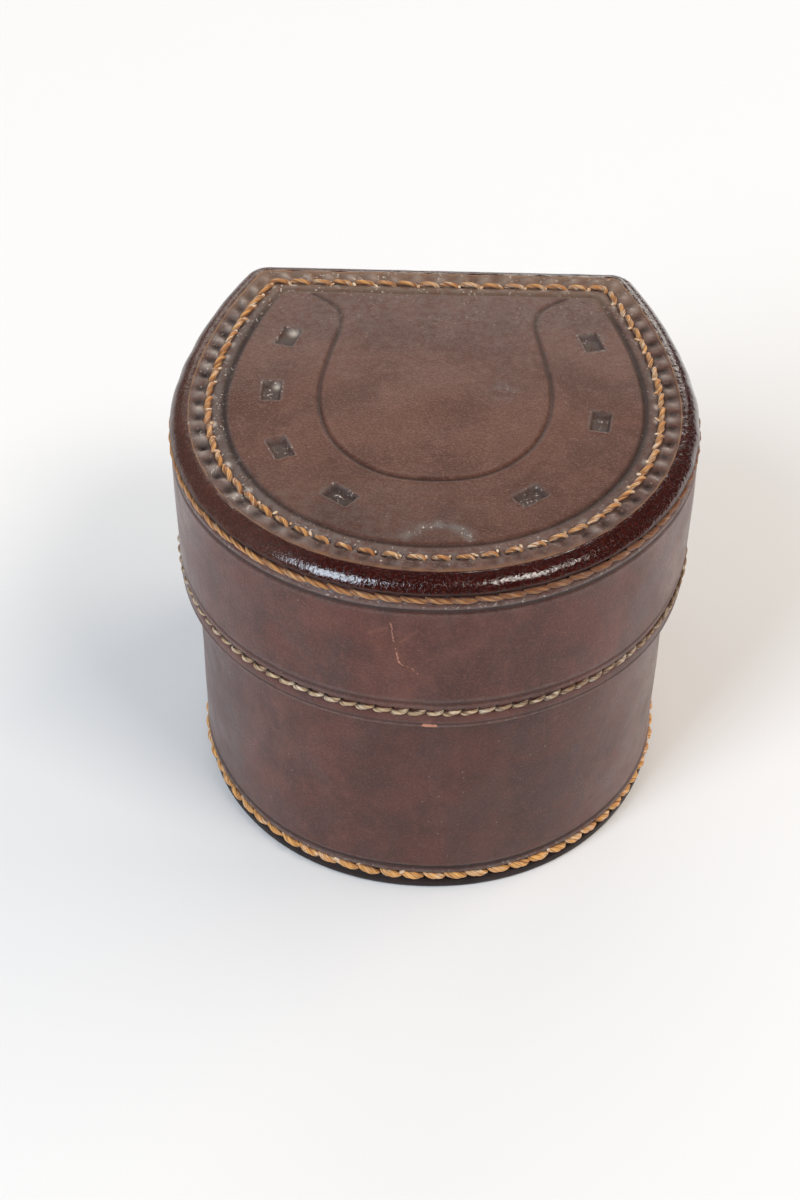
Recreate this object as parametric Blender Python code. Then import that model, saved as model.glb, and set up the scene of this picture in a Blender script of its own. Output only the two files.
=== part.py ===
"""Horseshoe-plan leather dice cup with a lift-off lid, as separate leather pieces and thread rows.

Metres, +Z up. The origin is the centre of the footprint, on the underside of the base.
The rounded front faces -Y and the straight back faces +Y.
"""

import math

import bmesh
import bpy
from mathutils import Vector

MM = 0.001
COLLECTION = "leather_dice_cup"
CUTTERS = "cutters"

# Plan of the lid, outside. The widest point lies between the front and the straight back.
LID_WIDTH = 90.0 * MM
FRONT_REACH = 47.4 * MM  # from the widest point to the front
BACK_CHORD = 40.9 * MM  # from the widest point to the straight back
BACK_REACH = 71.3 * MM  # where the sides would meet, behind the chord
FRONT_POWER = 2.06  # superellipse powers of the front and of the sides behind it
BACK_POWER = 1.75
PAST_CHORD = 1.03  # the sides are drawn a little past the chord, and cut there
CORNER_RADIUS = 5.3 * MM
LEAST_RADIUS = 1.5 * MM
FRONT_STEPS = 9  # points on a quarter of the plan in front of the widest point
BACK_STEPS = 8
CORNER_STEPS = 4

# Heights
TOTAL_HEIGHT = 75.1 * MM
LID_EDGE_Z = 43.6 * MM  # lower edge of the lid

# Leather and fits
GAP = 0.3 * MM  # between pieces that touch
PANEL = 2.4 * MM  # top and base panels
LID_LEATHER = 1.6 * MM
CUP_LEATHER = 1.8 * MM
LINING = 0.5 * MM
SLIDE_FIT = 0.4 * MM  # the lid's lining to the cup's wall
TOP_EDGE = PANEL / 2 - 0.1 * MM  # radius of the top panel's rounded edge
BASE_EDGE = 0.4 * MM

# Thread rows: a round thread sunk in a creased channel
THREAD_RADIUS = 0.35 * MM
CHANNEL_DEPTH = 1.0 * MM
CHANNEL_HALF = 0.7 * MM  # half its height at the mouth
CHANNEL_FLOOR = 0.6 * CHANNEL_HALF  # half its height at the bottom
TOP_ROW_INSET = 6.6 * MM
UNDER_ROW_INSET = 7.0 * MM
UNDER_ROW_RECESS = 0.1 * MM  # keeps the thread off what the cup stands on
RIM_ROW_RISE = 3.55 * MM  # lid's rim row above the lid's edge
CUP_RIM_ROW_DROP = 3.5 * MM  # cup's rim row below its rim
SEAM_TO_RIM_ROW = 2.0 * MM  # from the back seam's ends to the rows above and below it
SEAM_TO_NOTCH = 1.0 * MM

# Insets from the lid's outer face, from the outside in
LID_LINING_INSET = LID_LEATHER + GAP
CUP_INSET = LID_LINING_INSET + LINING + SLIDE_FIT
CUP_LINING_INSET = CUP_INSET + CUP_LEATHER + GAP

# Heights that follow
PANEL_UNDER_Z = TOTAL_HEIGHT - PANEL
LID_WALL_TOP_Z = PANEL_UNDER_Z - GAP
LID_TOP_LINING_Z = LID_WALL_TOP_Z - LINING  # its underside
CUP_RIM_Z = LID_TOP_LINING_Z - GAP
CUP_WALL_BASE_Z = PANEL + GAP
LID_RIM_ROW_Z = LID_EDGE_Z + RIM_ROW_RISE
CUP_RIM_ROW_Z = CUP_RIM_Z - CUP_RIM_ROW_DROP

# The horseshoe pressed into the lid: its inner line, from the left heel to the middle of the front
HORSESHOE_LINE = (
    (-23.5 * MM, 34.5 * MM),
    (-18.4 * MM, 29.8 * MM),
    (-17.3 * MM, 24.5 * MM),
    (-18.7 * MM, 15.5 * MM),
    (-19.8 * MM, 6.5 * MM),
    (-19.0 * MM, -2.5 * MM),
    (-15.6 * MM, -10.6 * MM),
    (-9.0 * MM, -16.6 * MM),
    (0.0, -18.5 * MM),
)
LINE_RADIUS = 0.5 * MM
# Its nail marks: place, and the turn of the long side clockwise from +Y, in degrees
NAIL_MARKS = (
    (-26.2 * MM, 20.2 * MM, 16),
    (-27.9 * MM, 4.3 * MM, 0),
    (-25.2 * MM, -11.2 * MM, -24),
    (-14.7 * MM, -23.0 * MM, -52),
    (16.0 * MM, -22.0 * MM, 50),
    (27.9 * MM, -2.1 * MM, 8),
    (27.1 * MM, 20.5 * MM, -16),
)
NAIL_SIZE = (3.0 * MM, 4.8 * MM)
NAIL_DEPTH = 0.6 * MM

TINY = 0.01 * MM
SHARP_ANGLE = math.radians(35)
RED_BROWN = (0.105, 0.035, 0.024)
EDGE_BROWN = (0.020, 0.006, 0.005)
SUEDE = (0.28, 0.15, 0.09)
AMBER = (0.45, 0.20, 0.05)
BEIGE = (0.50, 0.40, 0.27)


# ---------------------------------------------------------------- plan of the cup


def power(value, exponent):
    return math.copysign(abs(value) ** exponent, value)


def side_points():
    """Half of the lid's plan without the corner, from the middle of the front to past the chord."""
    half = LID_WIDTH / 2
    points = []
    for i in range(FRONT_STEPS):
        turn = math.pi / 2 * i / FRONT_STEPS
        x = half * power(math.sin(turn), 2 / FRONT_POWER)
        points.append(Vector((x, -FRONT_REACH * power(math.cos(turn), 2 / FRONT_POWER))))
    last = math.asin((BACK_CHORD / BACK_REACH) ** (BACK_POWER / 2)) * PAST_CHORD
    for i in range(BACK_STEPS + 1):
        turn = last * i / BACK_STEPS
        x = half * power(math.cos(turn), 2 / BACK_POWER)
        points.append(Vector((x, BACK_REACH * power(math.sin(turn), 2 / BACK_POWER))))
    return points


def moved_in(points, inset):
    """The open line of points, each moved inwards by inset at right angles to the line."""
    ahead = points[1:] + [points[-1] * 2 - points[-2]]
    behind = [points[0] - Vector((1, 0)) * (points[1] - points[0]).length] + points[:-1]
    moved = []
    for point, after, before in zip(points, ahead, behind):
        along = (after - before).normalized()
        moved.append(point + Vector((-along.y, along.x)) * inset)
    moved[0].x = 0.0
    return moved


def plan(inset):
    """The closed plan at that inset from the lid's outer face, counterclockwise from the front."""
    chord_y = BACK_CHORD - inset
    side = moved_in(side_points(), inset)
    while side[-2].y > chord_y:
        side.pop()
    lean = (side[-1] - side[-2]).normalized()
    corner = side[-2] + lean * ((chord_y - side[-2].y) / lean.y)
    radius = max(CORNER_RADIUS - inset, LEAST_RADIUS)
    turn = math.acos(-lean.x)
    reach = radius * math.tan(turn / 2)
    start = corner - lean * reach
    centre = Vector((corner.x - reach, chord_y - radius))
    while (start - side[-1]).dot(lean) < 2 * TINY:
        side.pop()
    first = math.atan2(start.y - centre.y, start.x - centre.x)
    for i in range(CORNER_STEPS + 1):
        angle = first + (math.pi / 2 - first) * i / CORNER_STEPS
        side.append(centre + radius * Vector((math.cos(angle), math.sin(angle))))
    middle = Vector((0.0, chord_y))
    right = side + [side[-1].lerp(middle, 0.5)]
    left = [Vector((-p.x, p.y)) for p in reversed(right[1:])]
    shift = Vector((0.0, (FRONT_REACH - BACK_CHORD) / 2))
    return [p + shift for p in right + [middle] + left]


# ---------------------------------------------------------------- making shapes


def clear_scene():
    for obj in list(bpy.data.objects):
        bpy.data.objects.remove(obj)


def collection(name):
    made = bpy.data.collections.new(name)
    bpy.context.scene.collection.children.link(made)
    return made


def leather(name, color, roughness):
    material = bpy.data.materials.new(name)
    material.use_nodes = True
    shader = material.node_tree.nodes["Principled BSDF"]
    shader.inputs["Base Color"].default_value = (*color, 1)
    shader.inputs["Roughness"].default_value = roughness
    shader.inputs["Metallic"].default_value = 0
    material.diffuse_color = (*color, 1)
    return material


def flat_curve(name, points, cyclic=True, into=COLLECTION):
    """A 2D curve of straight runs through the points."""
    data = bpy.data.curves.new(name, "CURVE")
    data.dimensions = "2D"
    data.fill_mode = "NONE"
    spline = data.splines.new("POLY")
    spline.points.add(len(points) - 1)
    for place, point in zip(spline.points, points):
        place.co = (point[0], point[1], 0, 1)
    spline.use_cyclic_u = cyclic
    obj = bpy.data.objects.new(name, data)
    bpy.data.collections[into].objects.link(obj)
    return obj


def to_mesh(curve):
    """Replaces the curve object by a closed mesh object of the same name and collection."""
    bpy.context.view_layer.update()
    graph = bpy.context.evaluated_depsgraph_get()
    mesh = bpy.data.meshes.new_from_object(curve.evaluated_get(graph))
    body = bmesh.new()
    body.from_mesh(mesh)
    bmesh.ops.remove_doubles(body, verts=body.verts, dist=TINY / 10)
    bmesh.ops.recalc_face_normals(body, faces=body.faces)
    body.to_mesh(mesh)
    body.free()
    name = curve.name
    home = curve.users_collection[0]
    place = curve.matrix_world.copy()
    bpy.data.objects.remove(curve)
    obj = bpy.data.objects.new(name, mesh)
    obj.matrix_world = place
    home.objects.link(obj)
    mesh.name = name
    return obj


def finish(obj, material):
    obj.data.materials.clear()
    obj.data.materials.append(material)
    if obj.type == "MESH":
        obj.data.shade_smooth()
        obj.data.set_sharp_from_angle(angle=SHARP_ANGLE)
    return obj


def band(name, inset, section, material):
    """A closed band round the plan. The section is (depth inwards, height) points, clockwise."""
    path = flat_curve(name, plan(inset))
    profile = flat_curve(name + "_section", section, into=CUTTERS)
    path.data.bevel_mode = "OBJECT"
    path.data.bevel_object = profile
    obj = to_mesh(path)
    bpy.data.objects.remove(profile)
    return finish(obj, material)


def plate(name, inset, low, thickness, edge, material):
    """A flat panel of the plan, whose edges are rounded by edge."""
    outline = flat_curve(name, plan(inset + edge))
    outline.data.fill_mode = "BOTH"
    outline.data.extrude = thickness / 2 - edge
    outline.data.bevel_depth = edge
    outline.data.bevel_resolution = 2
    outline.location.z = low + thickness / 2
    return finish(to_mesh(outline), material)


def tube(name, points, radius, height, cyclic=True, into=COLLECTION, sides=6):
    """A round thread or crease cutter along a level line at that height."""
    path = flat_curve(name, points, cyclic, into)
    path.data.dimensions = "3D"
    path.data.fill_mode = "FULL"
    path.data.use_fill_caps = True
    path.data.bevel_depth = radius
    path.data.bevel_resolution = (sides - 4) // 2
    path.location.z = height
    return to_mesh(path)


def cutter(obj):
    obj.hide_render = True
    obj.display_type = "WIRE"
    return obj


def cut(obj, tool):
    made = obj.modifiers.new(tool.name, "BOOLEAN")
    made.operation = "DIFFERENCE"
    made.object = tool


def thread_row(name, inset, height, material):
    """One stitched row, as the single thread that lies in its channel."""
    return finish(tube(name, plan(inset), THREAD_RADIUS, height), material)


def row_cutter(name, inset, height):
    """Cuts the channel of a row on a flat face."""
    return cutter(tube(name, plan(inset), THREAD_RADIUS + GAP, height, into=CUTTERS))


def channel(height):
    """The outer-face points of a stitch channel in a band's section, from the top down."""
    return [
        (0, height + CHANNEL_HALF),
        (CHANNEL_DEPTH, height + CHANNEL_FLOOR),
        (CHANNEL_DEPTH, height - CHANNEL_FLOOR),
        (0, height - CHANNEL_HALF),
    ]


# ---------------------------------------------------------------- decoration of the lid


def horseshoe_points():
    """The horseshoe's inner line as a smooth curve through its points, heel to heel."""
    half = [Vector(p) for p in HORSESHOE_LINE]
    full = half + [Vector((-p.x, p.y)) for p in reversed(half[:-1])]
    smooth = []
    for i in range(len(full) - 1):
        before = full[max(i - 1, 0)]
        start, end = full[i], full[i + 1]
        after = full[min(i + 2, len(full) - 1)]
        for t in (0.0, 0.5):
            smooth.append(
                0.5
                * (
                    2 * start
                    + (end - before) * t
                    + (2 * before - 5 * start + 4 * end - after) * t**2
                    + (3 * start - before - 3 * end + after) * t**3
                )
            )
    return smooth + [full[-1]]


def put_in(obj, name, into):
    """Names a new object and moves it to that collection."""
    obj.name = name
    for home in list(obj.users_collection):
        home.objects.unlink(obj)
    bpy.data.collections[into].objects.link(obj)
    return obj


def nail_cutter(number, x, y, turn):
    bpy.ops.mesh.primitive_cube_add(size=1, location=(x, y, TOTAL_HEIGHT))
    obj = put_in(bpy.context.object, f"nail_mark_{number}", CUTTERS)
    obj.scale = (*NAIL_SIZE, 2 * NAIL_DEPTH)
    obj.rotation_euler.z = math.radians(-turn)
    return cutter(obj)


# ---------------------------------------------------------------- seams


def upright(name, y, low, high, radius, sides, into):
    """An upright cylinder in the middle of the plan."""
    bpy.ops.mesh.primitive_cylinder_add(
        vertices=sides, radius=radius, depth=high - low, location=(0, y, (low + high) / 2)
    )
    return put_in(bpy.context.object, name, into)


def back_seam(wall, part, inset, low, high, material):
    """The seam down the middle of a wall's back: an upright channel with its thread."""
    y = max(point.y for point in plan(inset))
    channel_name = f"{part}_seam_channel"
    cut(wall, cutter(upright(channel_name, y, low, high, CHANNEL_DEPTH, 8, CUTTERS)))
    y -= THREAD_RADIUS
    thread_name = f"{part}_seam_thread"
    thread = upright(thread_name, y, low + GAP, high - GAP, THREAD_RADIUS, 6, COLLECTION)
    finish(thread, material)


# ---------------------------------------------------------------- the lid


def make_lid():
    skin = leather("lid_leather", RED_BROWN, 0.42)
    edge = leather("panel_leather", RED_BROWN, 0.36)
    suede = leather("lining_leather", SUEDE, 0.8)
    amber = leather("amber_thread", AMBER, 0.7)
    beige = leather("beige_thread", BEIGE, 0.75)

    panel = plate("lid_top_panel", 0, PANEL_UNDER_Z, PANEL, TOP_EDGE, edge)
    row_z = TOTAL_HEIGHT - THREAD_RADIUS
    cut(panel, row_cutter("top_row_channel", TOP_ROW_INSET, row_z))
    line = tube(
        "horseshoe_crease", horseshoe_points(), LINE_RADIUS, TOTAL_HEIGHT, False, CUTTERS, 4
    )
    cut(panel, cutter(line))
    for number, (x, y, turn) in enumerate(NAIL_MARKS, 1):
        cut(panel, nail_cutter(number, x, y, turn))
    thread_row("lid_top_thread", TOP_ROW_INSET, row_z, amber)

    notch_z = LID_WALL_TOP_Z - 2 * CHANNEL_HALF
    section = [
        (CHANNEL_DEPTH, LID_WALL_TOP_Z),
        (LID_LEATHER, LID_WALL_TOP_Z),
        (LID_LEATHER, LID_EDGE_Z),
        (0, LID_EDGE_Z),
        *reversed(channel(LID_RIM_ROW_Z)),
        (0, notch_z),
        (CHANNEL_DEPTH, notch_z + CHANNEL_HALF / 2),
    ]
    wall = band("lid_wall", 0, section, skin)
    back_seam(wall, "lid", 0, LID_RIM_ROW_Z + SEAM_TO_RIM_ROW, notch_z - SEAM_TO_NOTCH, beige)
    thread_row("lid_side_thread", THREAD_RADIUS, LID_WALL_TOP_Z - CHANNEL_HALF, amber)
    thread_row("lid_rim_thread", THREAD_RADIUS, LID_RIM_ROW_Z, beige)

    plate("lid_top_lining", LID_LINING_INSET, LID_TOP_LINING_Z, LINING, 0, suede)
    lining_top = LID_TOP_LINING_Z - GAP
    section = [(0, lining_top), (LINING, lining_top), (LINING, LID_EDGE_Z), (0, LID_EDGE_Z)]
    band("lid_wall_lining", LID_LINING_INSET, section, suede)


# ---------------------------------------------------------------- the cup


def make_cup():
    skin = leather("cup_leather", RED_BROWN, 0.42)
    edge = leather("base_leather", EDGE_BROWN, 0.45)
    suede = leather("cup_lining_leather", SUEDE, 0.8)
    amber = leather("cup_amber_thread", AMBER, 0.7)
    beige = leather("cup_beige_thread", BEIGE, 0.75)

    base = plate("cup_base_panel", CUP_INSET, 0, PANEL, BASE_EDGE, edge)
    row_z = THREAD_RADIUS + UNDER_ROW_RECESS
    cut(base, row_cutter("under_row_channel", UNDER_ROW_INSET, row_z))
    thread_row("cup_base_under_thread", UNDER_ROW_INSET, row_z, amber)

    notch_z = CUP_WALL_BASE_Z + 2 * CHANNEL_HALF
    section = [
        (CUP_LEATHER, CUP_RIM_Z),
        (CUP_LEATHER, CUP_WALL_BASE_Z),
        (CHANNEL_DEPTH, CUP_WALL_BASE_Z),
        (CHANNEL_DEPTH, notch_z - CHANNEL_HALF / 2),
        (0, notch_z),
        *reversed(channel(CUP_RIM_ROW_Z)),
        (0, CUP_RIM_Z),
    ]
    wall = band("cup_wall", CUP_INSET, section, skin)
    seam_low, seam_high = notch_z + SEAM_TO_NOTCH, CUP_RIM_ROW_Z - SEAM_TO_RIM_ROW
    back_seam(wall, "cup", CUP_INSET, seam_low, seam_high, beige)
    inset = CUP_INSET + THREAD_RADIUS
    thread_row("cup_base_side_thread", inset, CUP_WALL_BASE_Z + CHANNEL_HALF, amber)
    thread_row("cup_rim_thread", inset, CUP_RIM_ROW_Z, beige)

    plate("cup_floor_lining", CUP_LINING_INSET, CUP_WALL_BASE_Z, LINING, 0, suede)
    lining_low = CUP_WALL_BASE_Z + LINING + GAP
    section = [(0, CUP_RIM_Z), (LINING, CUP_RIM_Z), (LINING, lining_low), (0, lining_low)]
    band("cup_wall_lining", CUP_LINING_INSET, section, suede)


def main():
    clear_scene()
    collection(COLLECTION)
    collection(CUTTERS)
    make_lid()
    make_cup()


main()
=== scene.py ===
"""The looks of the horseshoe-plan leather dice cup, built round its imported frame. Metres, +Z up."""

import math

import bpy
import numpy as np
from mathutils import Matrix, Vector


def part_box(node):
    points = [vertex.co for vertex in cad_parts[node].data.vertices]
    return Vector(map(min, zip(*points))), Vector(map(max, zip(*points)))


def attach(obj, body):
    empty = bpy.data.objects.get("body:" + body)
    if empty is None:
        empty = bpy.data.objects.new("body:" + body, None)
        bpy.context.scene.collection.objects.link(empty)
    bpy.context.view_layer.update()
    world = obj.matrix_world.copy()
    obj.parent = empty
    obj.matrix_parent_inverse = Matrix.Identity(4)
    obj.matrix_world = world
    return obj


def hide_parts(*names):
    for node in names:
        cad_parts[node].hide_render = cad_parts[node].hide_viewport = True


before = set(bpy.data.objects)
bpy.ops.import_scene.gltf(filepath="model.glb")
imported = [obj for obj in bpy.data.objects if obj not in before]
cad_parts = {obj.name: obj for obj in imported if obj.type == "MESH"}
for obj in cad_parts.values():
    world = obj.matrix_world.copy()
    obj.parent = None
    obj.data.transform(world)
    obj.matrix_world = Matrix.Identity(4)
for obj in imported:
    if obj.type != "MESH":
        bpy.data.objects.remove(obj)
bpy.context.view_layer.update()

MM = 0.001
rng = np.random.default_rng(7)

# -------- sizes from the frame

lid_low, lid_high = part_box("lid_wall")
panel_low, panel_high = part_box("lid_top_panel")
top_lining_low, top_lining_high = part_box("lid_top_lining")
cup_low, cup_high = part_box("cup_wall")


def middle_z(node):
    low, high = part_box(node)
    return (low.z + high.z) / 2


HALF_WIDTH = lid_high.x
FRONT_Y = lid_low.y
BACK_Y = lid_high.y
TOP_Z = panel_high.z
BASE_TOP_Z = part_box("cup_base_panel")[1].z
CUP_INSET = HALF_WIDTH - cup_high.x
LID_LINING_INSET = HALF_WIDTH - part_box("lid_wall_lining")[1].x
CUP_LINING_INSET = HALF_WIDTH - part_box("cup_wall_lining")[1].x
LID_LEATHER = 1.6 * MM
CUP_LEATHER = 1.8 * MM
LINING = top_lining_high.z - top_lining_low.z

# The plan: two superellipse halves cut by the straight back
WIDEST_Y = 3.25 * MM
BACK_REACH = 71.3 * MM
FRONT_POWER = 2.06
BACK_POWER = 1.75
CORNER_RADIUS = 5.3 * MM
LEAST_RADIUS = 1.5 * MM
SIDE_POINTS = 360  # along half the plan, for the finest relief
CORNER_POINTS = 15
CHORD_POINTS = 90

# Stitch rows and creases
TOP_ROW_INSET = 6.6 * MM
BORDER_INSET = 3.1 * MM
CREASE_INSET = 9.3 * MM
UNDER_ROW_INSET = 7.0 * MM
SIDE_ROW_Z = middle_z("lid_side_thread")
LID_RIM_ROW_Z = middle_z("lid_rim_thread")
BASE_ROW_Z = middle_z("cup_base_side_thread")
CUP_RIM_ROW_Z = middle_z("cup_rim_thread")
BOX_PITCH = 3.9 * MM
RIM_PITCH = 2.84 * MM
ROW_TO_CREASE = 2.2 * MM

HORSESHOE_LINE = (
    (-23.5, 34.5), (-18.4, 29.8), (-17.3, 24.5), (-18.7, 15.5), (-19.8, 6.5),
    (-19.0, -2.5), (-15.6, -10.6), (-9.0, -16.6), (0.0, -18.5),
)
NAIL_MARKS = (  # place in mm, turn of the long side clockwise from +Y in degrees, pale spot in mm
    (-26.2, 20.2, 16, 0.9),
    (-27.9, 4.3, 0, 0.65),
    (-25.2, -11.2, -24, 0),
    (-14.7, -23.0, -52, 0),
    (16.0, -22.0, 50, 0),
    (27.9, -2.1, 8, 0),
    (27.1, 20.5, -16, 0),
)
NAIL_SIZE = (3.0 * MM, 4.8 * MM)
TOE_CLIP = (1.3 * MM, -35.6 * MM, 5.6 * MM)  # centre and radius
SCUFF = (11.5 * MM, 6.0 * MM, 2.6 * MM)  # a rubbed patch on the field, as centre and radius
BACK_SHEEN = 36 * MM  # how far behind the middle the field's painted sheen, laid as bloom, is at its fullest
SCRATCHES = (  # on the lid's front, in mm: start and end as x and z, half width, strength
    ((-5.7, 66.8), (-5.0, 61.2), 0.15, 0.60),
    ((-5.0, 61.2), (-4.2, 58.0), 0.19, 0.80),
    ((-4.2, 58.0), (-2.4, 57.6), 0.14, 0.65),
    ((-2.4, 57.6), (-1.4, 56.2), 0.14, 0.65),
    ((-9.0, 64.2), (-6.4, 65.6), 0.55, 0.08),
    ((-4.0, 63.0), (-1.6, 65.4), 0.40, 0.10),
    ((-17.6, 66.0), (-17.0, 61.8), 0.30, 0.20),
    ((-1.6, 61.4), (-0.4, 61.1), 0.12, 0.45),
    ((-0.3, 44.25), (1.7, 44.25), 0.42, 1.00),
)

# -------- plan curves


def unit(vectors):
    return vectors / np.linalg.norm(vectors, axis=1)[:, None]


def resample(line, count):
    """Points evenly along an open line."""
    steps = np.linalg.norm(np.diff(line, axis=0), axis=1)
    length = np.concatenate([[0], np.cumsum(steps)])
    wanted = np.linspace(0, length[-1], count)
    return np.stack([np.interp(wanted, length, line[:, k]) for k in range(line.shape[1])], 1)


def side_line():
    """The right half of the lid's plan, from the middle of the front to behind the back."""
    turn = np.linspace(0, math.pi / 2, 400)
    front_x = HALF_WIDTH * np.sin(turn) ** (2 / FRONT_POWER)
    front_y = WIDEST_Y - (WIDEST_Y - FRONT_Y) * np.cos(turn) ** (2 / FRONT_POWER)
    back_x = HALF_WIDTH * np.cos(turn) ** (2 / BACK_POWER)
    back_y = WIDEST_Y + BACK_REACH * np.sin(turn) ** (2 / BACK_POWER)
    front = np.stack([front_x, front_y], 1)
    back = np.stack([back_x, back_y], 1)
    return resample(np.vstack([front, back[1:]]), 1500)


def plan(inset):
    """The closed plan at that inset from the lid's face, counterclockwise from the front.

    Every inset has the same number of points, so a point's number says where it is round the plan.
    """
    line = side_line()
    along = unit(np.gradient(line, axis=0))
    line = line + inset * np.stack([-along[:, 1], along[:, 0]], 1)
    line[0, 0] = 0.0
    chord_y = BACK_Y - inset
    past = int(np.argmax(line[:, 1] > chord_y))
    lean = line[past] - line[past - 1]
    lean /= np.linalg.norm(lean)
    corner = line[past - 1] + lean * (chord_y - line[past - 1, 1]) / lean[1]
    radius = max(CORNER_RADIUS - inset, LEAST_RADIUS)
    reach = radius * math.tan(math.acos(-lean[0]) / 2)
    start = corner - lean * reach
    side = line[:past]
    side = np.vstack([side[(corner - side) @ lean > reach], start])
    centre = np.array([corner[0] - reach, chord_y - radius])
    first = math.atan2(start[1] - centre[1], start[0] - centre[0])
    turn = np.linspace(first, math.pi / 2, CORNER_POINTS + 1)[1:-1]
    arc = centre + radius * np.stack([np.cos(turn), np.sin(turn)], 1)
    chord = np.linspace((centre[0], chord_y), (0.0, chord_y), CHORD_POINTS)
    half = np.vstack([resample(side, SIDE_POINTS), arc, chord])
    return np.vstack([half, half[-2:0:-1] * (-1, 1)])


def outward(path):
    """Unit normals of a closed counterclockwise plan."""
    along = unit(np.roll(path, -1, 0) - np.roll(path, 1, 0))
    return np.stack([along[:, 1], -along[:, 0]], 1)


def along_length(path):
    """Distance along a closed path at each point, and the path's whole length."""
    steps = np.linalg.norm(np.roll(path, -1, 0) - path, axis=1)
    return np.concatenate([[0], np.cumsum(steps)[:-1]]), steps.sum()


def ring(path, z):
    """A level ring of 3D points. z may vary round it."""
    return np.column_stack([path, np.broadcast_to(z, len(path))])


# -------- relief


def clamp(values):
    return np.clip(values, 0, 1)


def bell(distance, width):
    return np.exp(-((distance / width) ** 2))


def crease(distance, width=0.42 * MM, depth=0.34 * MM):
    """A tooled line: a groove between two low lips."""
    lips = bell(np.abs(distance) - 2.0 * width, 0.8 * width)
    return -depth * bell(distance, width) + 0.12 * depth * lips


def to_nearest(length, pitch):
    """Distance to the nearest whole multiple of pitch, where the holes are."""
    return np.abs((length / pitch + 0.5) % 1.0 - 0.5) * pitch


def waves(x, y, seed, reach):
    """Soft seeded unevenness between about -1 and 1, with waves of about that reach."""
    source = np.random.default_rng(seed)
    total = np.zeros_like(x)
    for _ in range(6):
        angle = source.uniform(0, math.tau)
        size = source.uniform(0.6, 1.6) * math.tau / reach
        phase = source.uniform(0, math.tau)
        total += np.sin(size * (x * math.cos(angle) + y * math.sin(angle)) + phase)
    return total / 3.0


def unevenness(x, y):
    """The top panel's slow, low waves."""
    return 0.045 * MM * waves(x, y, 5, 17 * MM)


def soft_step(distance, width):
    """Goes softly from 0 to 1 where the distance passes 0."""
    return 0.5 + 0.5 * np.tanh(distance / width)


def distance_to_line(points, line):
    best = np.full(len(points), 1.0)
    for start, end in zip(line[:-1], line[1:]):
        run = end - start
        share = clamp((points - start) @ run / (run @ run))
        gap = np.linalg.norm(points - start - share[:, None] * run, axis=1)
        best = np.minimum(best, gap)
    return best


def smooth_line(corners, steps=8):
    """A Catmull-Rom curve through the corners."""
    padded = np.vstack([2 * corners[0] - corners[1], corners, 2 * corners[-1] - corners[-2]])
    pieces = []
    for i in range(1, len(padded) - 2):
        a, b, c, d = padded[i - 1 : i + 3]
        t = np.linspace(0, 1, steps, endpoint=False)[:, None]
        curve = 2 * b + (c - a) * t + (2 * a - 5 * b + 4 * c - d) * t**2
        pieces.append(0.5 * (curve + (3 * b - a - 3 * c + d) * t**3))
    return np.vstack([*pieces, corners[-1]])


def box_distance(points, centre, size, turn):
    """Signed distance to a rectangle with its long side turned clockwise from +Y."""
    angle = math.radians(turn)
    move = points - centre
    across = move[:, 0] * math.cos(angle) - move[:, 1] * math.sin(angle)
    ahead = move[:, 0] * math.sin(angle) + move[:, 1] * math.cos(angle)
    out_x = np.abs(across) - size[0] / 2
    out_y = np.abs(ahead) - size[1] / 2
    outside = np.hypot(np.maximum(out_x, 0), np.maximum(out_y, 0))
    return outside + np.minimum(np.maximum(out_x, out_y), 0)


# -------- meshes


def new_object(name, data):
    obj = bpy.data.objects.new(name, data)
    bpy.context.scene.collection.objects.link(obj)
    return obj


def new_mesh(name, points, faces, marks):
    """An object of those points and faces, smooth, with its marks as point attributes."""
    mesh = bpy.data.meshes.new(name)
    mesh.from_pydata(points.tolist(), [], faces)
    mesh.validate()
    for mark, values in marks.items():
        layer = mesh.attributes.new(mark, "FLOAT", "POINT")
        layer.data.foreach_set("value", np.asarray(values, np.float32))
    mesh.shade_smooth()
    return new_object(name, mesh)


def spread(values, shape):
    """The values of a mark for each point, from 0 to 1."""
    return clamp(np.broadcast_to(values, shape))


def quads_between(low, high):
    """Faces between two rings of point numbers, the second with as many points or half as many."""
    after = np.roll(high, -1)
    if len(low) == len(high):
        return np.stack([low, np.roll(low, -1), after, high], 1).tolist()
    first, middle, last = low[::2], low[1::2], np.roll(low[::2], -1)
    fans = [(first, middle, high), (middle, last, after), (middle, after, high)]
    return [face for fan in fans for face in np.stack(fan, 1).tolist()]


def skin(name, rings, marks=None, closed=True):
    """Quads between rings. A closed skin is a band; an open one gets a fan over each end."""
    points = np.vstack(rings)
    starts = np.concatenate([[0], np.cumsum([len(r) for r in rings])])
    numbers = [np.arange(a, b) for a, b in zip(starts[:-1], starts[1:])]
    faces = []
    for low, high in zip(numbers[:-1], numbers[1:]):
        faces += quads_between(low, high)
    if closed:
        faces += quads_between(numbers[-1], numbers[0])
    marks = {mark: np.concatenate(values) for mark, values in (marks or {}).items()}
    if not closed:
        first, last = numbers[0], numbers[-1]
        low, high = len(points), len(points) + 1
        points = np.vstack([points, rings[0].mean(0), rings[-1].mean(0)])
        faces += np.stack([np.roll(first, -1), first, np.full(len(first), low)], 1).tolist()
        faces += np.stack([last, np.roll(last, -1), np.full(len(last), high)], 1).tolist()
        marks = {m: np.append(v, [v[0], v[last[0]]]) for m, v in marks.items()}
    return new_mesh(name, points, faces, marks)


def wear(obj, material, body, nodes):
    """Gives a piece its material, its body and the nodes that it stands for."""
    obj.data.materials.append(material)
    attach(obj, body)
    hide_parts(*nodes)


# -------- materials


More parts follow.
